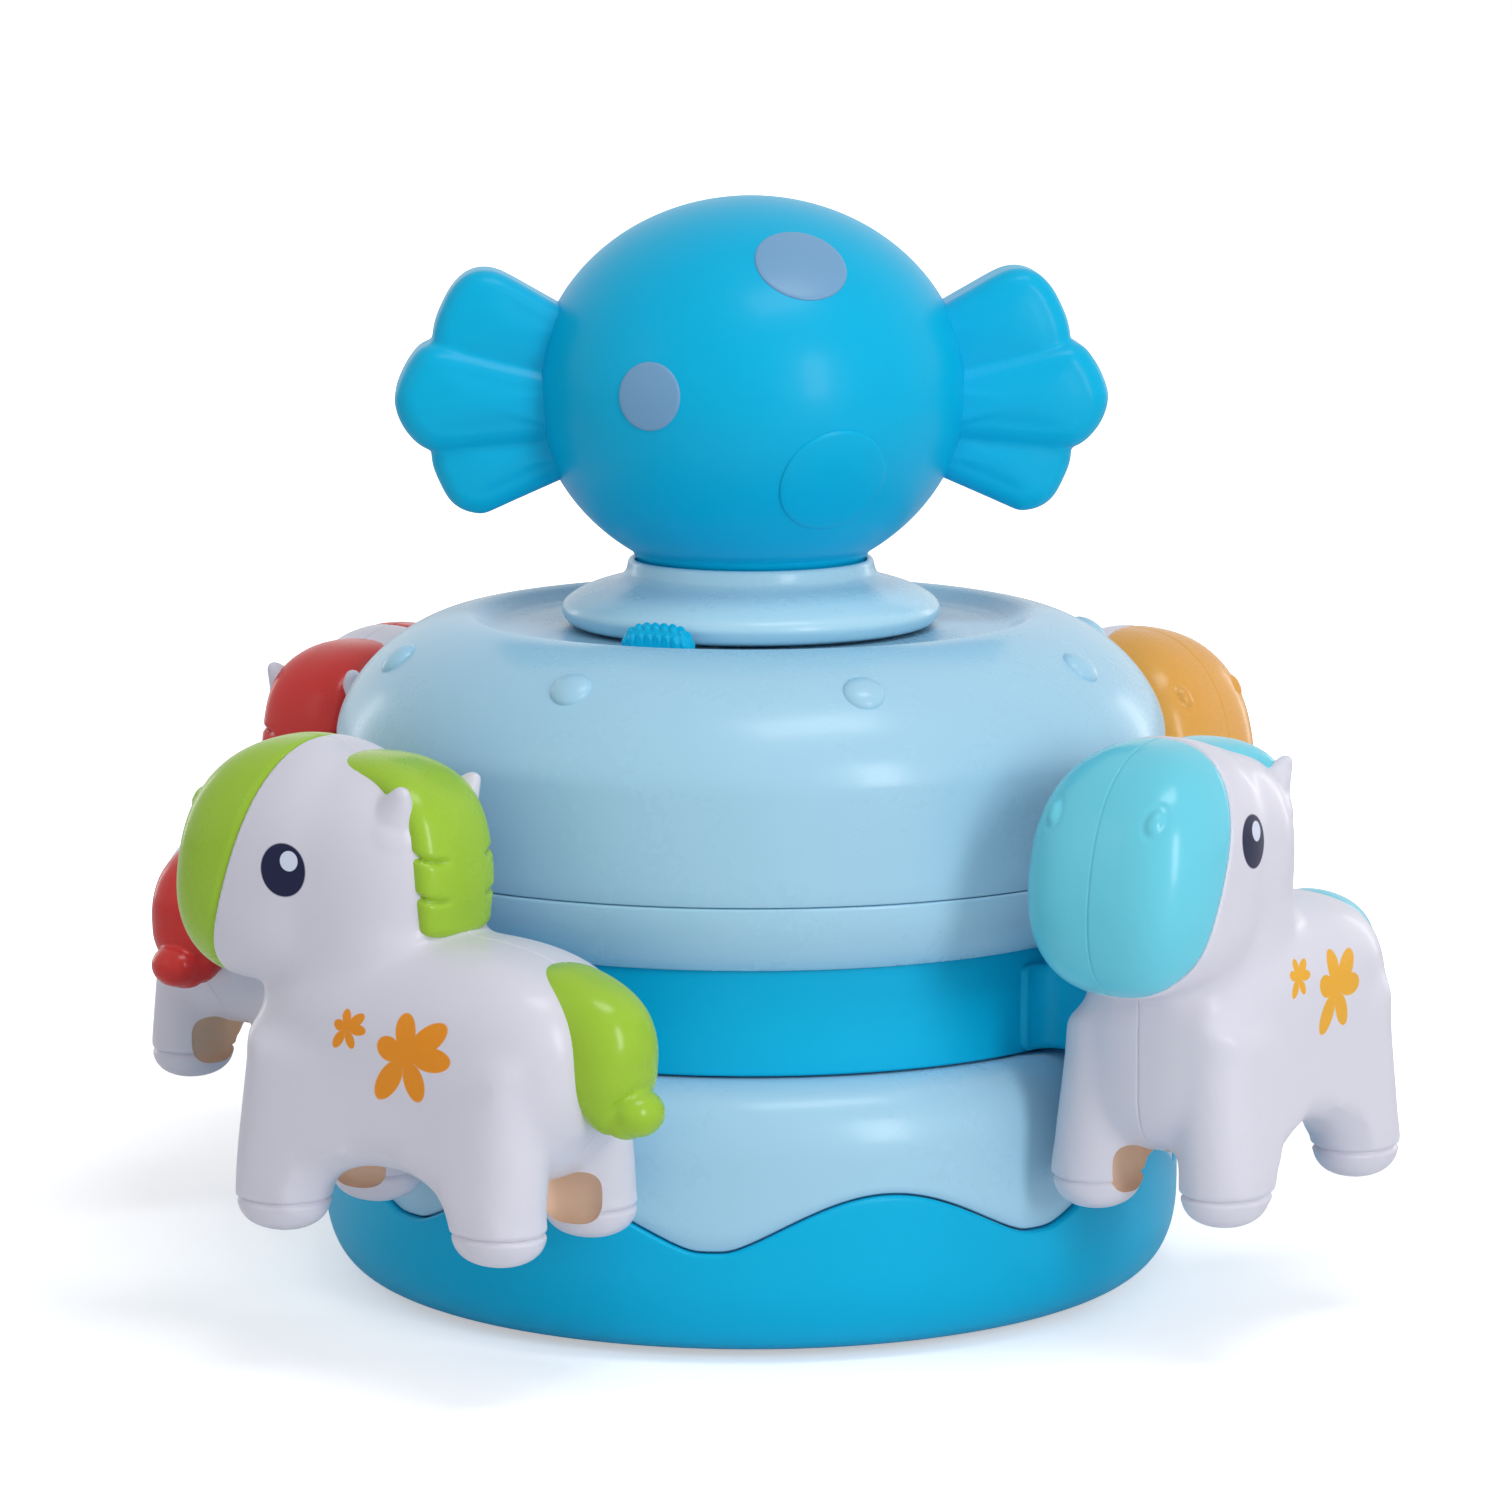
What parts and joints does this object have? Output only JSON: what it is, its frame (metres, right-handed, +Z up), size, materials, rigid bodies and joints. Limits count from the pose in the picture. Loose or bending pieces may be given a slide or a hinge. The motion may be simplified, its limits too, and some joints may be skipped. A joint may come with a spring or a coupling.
{
  "type": "spinning pony toy",
  "caption": "Tabletop spinning toy: a round knob with wrapper fingers geared to a drum that whirls ponies round a layered round base with a domed roof.",
  "frame": {"origin": "centre of the drum's axis, at the level the rubber ring stands on", "axes": "+Z up along the drum's and the knob's shared axis, -Y towards the side that the picture shows"},
  "size_m": [0.2156, 0.2156, 0.1825],
  "materials": {
    "deep_blue": "glossy moulded plastic",
    "pale_blue": "glossy moulded plastic",
    "pony_white": "satin moulded plastic",
    "leaf_green": "glossy moulded plastic",
    "sky_blue": "glossy moulded plastic",
    "soft_orange": "glossy moulded plastic",
    "warm_red": "glossy moulded plastic",
    "white_nylon": "plain nylon",
    "steel": "bright steel",
    "brass": "turned brass",
    "foot_rubber": "soft rubber",
    "battery_can": "plain can, stands in for the cell",
    "speaker_black": "black plastic",
    "board_green": "green board"
  },
  "bodies": {
    "toy_base": {"base_bowl": "deep_blue", "base_plate": "deep_blue", "battery_door": "deep_blue", "battery_door_screw": "steel", "button_cell_1": "battery_can", "button_cell_2": "battery_can", "button_cell_3": "battery_can", "battery_minus_contact": "steel", "battery_plus_contact": "steel", "speaker": "speaker_black", "foot_ring": "foot_rubber", "base_screw_1": "steel", "base_screw_2": "steel", "base_screw_3": "steel", "icing_cover": "pale_blue", "centre_column": "white_nylon", "thrust_washer": "steel", "shaft_bush_lower": "brass", "shaft_bush_upper": "brass", "idler_pin": "steel", "roof_shell": "pale_blue", "roof_rim": "pale_blue", "collar": "pale_blue", "circuit_board": "board_green", "slide_switch_body": "steel"},
    "pony_rotor": {"pony_drum": "deep_blue", "rotor_gear": "white_nylon", "drum_bush_lower": "brass", "drum_bush_upper": "brass", "green_pony_outer_half": "pony_white", "green_pony_inner_half": "pony_white", "green_pony_muzzle": "leaf_green", "green_pony_mane": "leaf_green", "green_pony_tail": "leaf_green", "blue_pony_outer_half": "pony_white", "blue_pony_inner_half": "pony_white", "blue_pony_muzzle": "sky_blue", "blue_pony_mane": "sky_blue", "blue_pony_tail": "sky_blue", "orange_pony_outer_half": "pony_white", "orange_pony_inner_half": "pony_white", "orange_pony_muzzle": "soft_orange", "orange_pony_mane": "soft_orange", "orange_pony_tail": "soft_orange", "red_pony_outer_half": "pony_white", "red_pony_inner_half": "pony_white", "red_pony_muzzle": "warm_red", "red_pony_mane": "warm_red", "red_pony_tail": "warm_red"},
    "knob": {"knob_front_half": "deep_blue", "knob_back_half": "deep_blue", "knob_wing_left": "deep_blue", "knob_wing_right": "deep_blue", "knob_shaft": "steel", "knob_pinion": "white_nylon", "shaft_clip": "steel", "knob_screw_left": "steel", "knob_screw_right": "steel"},
    "idler": {"idler_gear": "white_nylon"},
    "mode_slider": {"mode_switch": "deep_blue"}
  },
  "joints": [
    {"name": "pony_spin", "type": "hinge", "parent": "toy_base", "child": "pony_rotor", "pos_m": [0, 0, 0.05], "axis": [0, 0, 1], "continuous": true},
    {"name": "knob_spin", "type": "hinge", "parent": "toy_base", "child": "knob", "pos_m": [0, 0, 0.15], "axis": [0, 0, 1], "continuous": true},
    {"name": "idler_spin", "type": "hinge", "parent": "toy_base", "child": "idler", "pos_m": [0, -0.022, 0.02], "axis": [0, 0, 1], "continuous": true},
    {"name": "switch_slide", "type": "slide", "parent": "toy_base", "child": "mode_slider", "axis": [0.9018, -0.4321, 0], "range_m": [-0.003, 0.003]}
  ],
  "couplings": [
    {"joint": "knob_spin", "follows": "pony_spin", "ratio": 0.65625},
    {"joint": "idler_spin", "follows": "pony_spin", "ratio": -1.75}
  ]
}
